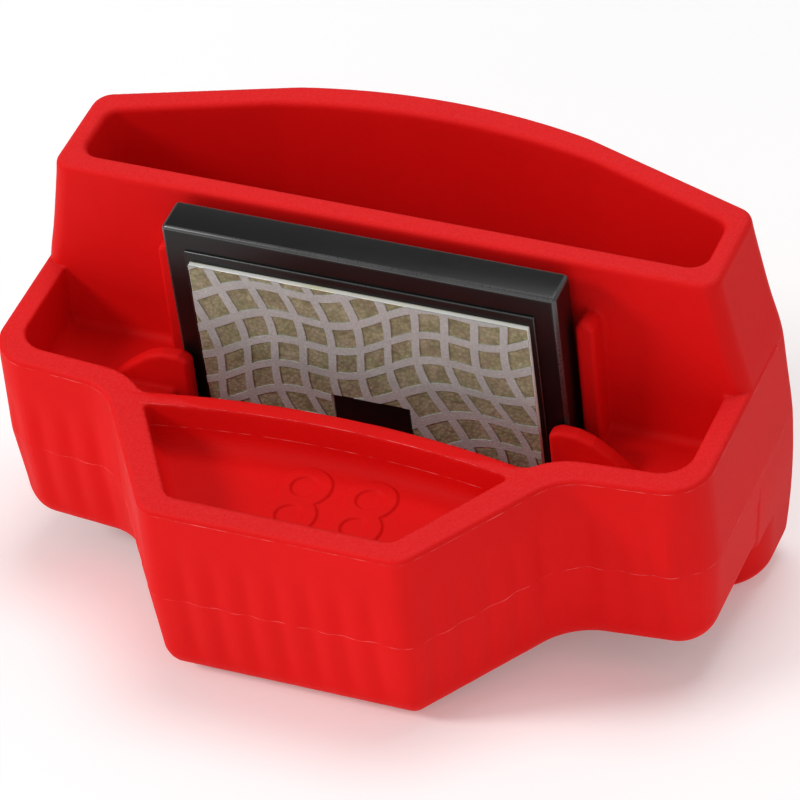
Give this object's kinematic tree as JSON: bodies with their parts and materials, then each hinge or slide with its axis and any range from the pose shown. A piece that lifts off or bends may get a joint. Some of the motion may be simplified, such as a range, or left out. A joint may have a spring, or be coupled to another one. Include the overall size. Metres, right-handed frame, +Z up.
{
  "type": "edge tuning tool",
  "caption": "Hand-held ski side-edge tuner: moulded holder with rear grip box, guide rims, finger tray and a slide-in abrasive file carrier.",
  "frame": {"origin": "centre of the bounding box on the table plane the tool rests on", "axes": "+Z up with the tool standing on its rear foot and the front of its tray, -Y towards the finger tray, X along the ski's travel"},
  "size_m": [0.106, 0.0786, 0.0635],
  "materials": {
    "red_plastic": "matte grained",
    "black_plastic": "satin",
    "adhesive": "matte",
    "backing": "gritty matte",
    "nickel_diamond": "fine grit satin"
  },
  "bodies": {
    "holder": {"holder_body": "red_plastic"},
    "file_insert": {"file_carrier": "black_plastic", "adhesive_film": "adhesive", "abrasive_backing": "backing", "diamond_plating": "nickel_diamond"}
  },
  "joints": [
    {"name": "insert_slide", "type": "slide", "parent": "holder", "child": "file_insert", "axis": [0, -0.2334, 0.9724], "range_m": [0, 0.045]}
  ]
}
